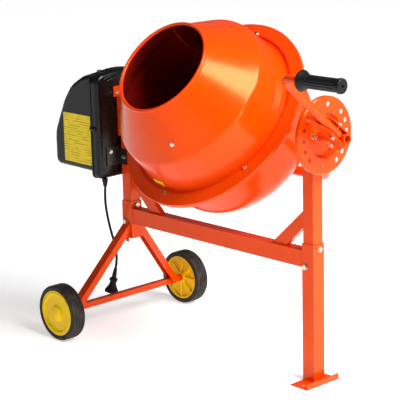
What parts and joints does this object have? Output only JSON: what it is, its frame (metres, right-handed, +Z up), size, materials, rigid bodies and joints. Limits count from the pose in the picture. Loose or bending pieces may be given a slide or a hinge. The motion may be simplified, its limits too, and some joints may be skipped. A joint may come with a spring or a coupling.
{
  "type": "concrete mixer",
  "caption": "Electric tilting-drum concrete mixer on a two-wheeled steel frame, with a lever, a notched tilt disc, a crown gear drive and a boxed motor",
  "frame": {"origin": "bottom centre of the bounding box, on the ground", "axes": "+X from the motor box to the tilt lever, along the crossbar and the tilt axis; -Y is the side that the drum mouth faces; +Z up"},
  "size_m": [1.2325, 0.5452, 0.9221],
  "materials": {
    "orange": "orange powder coat",
    "zinc": "yellowish zinc plate",
    "steel": "turned steel",
    "iron": "grey cast iron",
    "black_plastic": "black moulded plastic",
    "yellow_plastic": "yellow moulded plastic",
    "rubber": "black rubber, dusty tread",
    "soft_black": "black soft rubber",
    "black_metal": "black painted steel",
    "green": "green moulded plastic",
    "red": "red moulded plastic",
    "belt": "ribbed rubber belt",
    "alu": "die-cast aluminium"
  },
  "bodies": {
    "frame": {"left_post": "orange", "right_post": "orange", "crossbar": "orange", "left_sleeve": "orange", "right_leg": "orange", "left_brace": "orange", "right_brace": "orange", "foot_plate": "orange", "near_leg": "orange", "far_leg": "orange", "axle_beam": "orange", "axle_rod": "steel", "frame_bolts": "zinc", "tilt_disc": "orange", "trunnion_bush": "orange", "left_bearing": "orange", "motor_plate": "orange", "motor_bracket": "black_metal", "mount_bolts": "zinc", "inner_cover": "black_plastic", "outer_cover": "black_plastic", "cover_screws": "black_metal", "motor_stator": "alu", "switch_housing": "black_plastic", "cord_gland": "soft_black", "mains_cord": "soft_black", "plug_body": "soft_black", "plug_pins": "steel", "drive_belt": "belt"},
    "near_wheel": {"near_hub": "yellow_plastic", "near_tyre": "rubber", "near_cap": "yellow_plastic"},
    "far_wheel": {"far_hub": "yellow_plastic", "far_tyre": "rubber", "far_cap": "yellow_plastic"},
    "yoke": {"yoke_tube": "orange", "pinion_sleeve": "orange", "drum_spindle": "steel", "spindle_nut": "zinc", "lever_bracket": "orange", "pivot_bolt": "zinc"},
    "drum": {"drum_upper": "orange", "drum_lower": "orange", "guard_ring": "orange", "ring_gear": "iron", "mixing_blade_a": "orange", "mixing_blade_b": "orange", "drum_hub": "iron", "guard_bolts": "zinc", "blade_bolts": "zinc"},
    "lever": {"lever_tube": "orange", "lever_grip": "black_plastic"},
    "latch": {"latch_pin": "steel"},
    "pinion": {"pinion_gear": "iron", "pinion_shaft": "steel", "big_pulley": "alu"},
    "rotor": {"motor_pulley": "alu"},
    "start": {"start_button": "green"},
    "stop": {"stop_button": "red"}
  },
  "joints": [
    {"name": "tilt", "type": "hinge", "parent": "frame", "child": "yoke", "pos_m": [0.32987, 0.01021, 0.657], "axis": [1, 0, 0], "range_deg": [-200, 80]},
    {"name": "drum_spin", "type": "hinge", "parent": "yoke", "child": "drum", "pos_m": [-0.01613, 0.14044, 0.54773], "axis": [0, -0.766, 0.6428], "continuous": true},
    {"name": "pinion_spin", "type": "hinge", "parent": "yoke", "child": "pinion", "pos_m": [-0.35413, 0.01021, 0.657], "axis": [1, 0, 0], "continuous": true},
    {"name": "motor_spin", "type": "hinge", "parent": "frame", "child": "rotor", "pos_m": [-0.45413, 0.01021, 0.535], "axis": [1, 0, 0], "continuous": true},
    {"name": "lever_latch", "type": "hinge", "parent": "yoke", "child": "lever", "pos_m": [0.42937, -0.0143, 0.67757], "axis": [0, 0.6428, 0.766], "range_deg": [-7.5, 0]},
    {"name": "latch_pin_slide", "type": "slide", "parent": "yoke", "child": "latch", "axis": [1, 0, 0], "range_m": [-0.0063, 0]},
    {"name": "near_wheel_spin", "type": "hinge", "parent": "frame", "child": "near_wheel", "pos_m": [-0.42063, -0.22979, 0.08], "axis": [0, 1, 0], "continuous": true},
    {"name": "far_wheel_spin", "type": "hinge", "parent": "frame", "child": "far_wheel", "pos_m": [-0.42063, 0.25021, 0.08], "axis": [0, 1, 0], "continuous": true},
    {"name": "start_press", "type": "slide", "parent": "frame", "child": "start", "axis": [0, -1, 0], "range_m": [0, 0.003], "stiffness_N_per_m": 600, "springref_m": -0.003},
    {"name": "stop_press", "type": "slide", "parent": "frame", "child": "stop", "axis": [0, -1, 0], "range_m": [0, 0.003], "stiffness_N_per_m": 600, "springref_m": -0.003}
  ],
  "couplings": [
    {"joint": "pinion_spin", "follows": "drum_spin", "ratio": 20},
    {"joint": "motor_spin", "follows": "drum_spin", "ratio": 100},
    {"joint": "latch_pin_slide", "follows": "lever_latch", "m_per_rad": 0.0477}
  ]
}
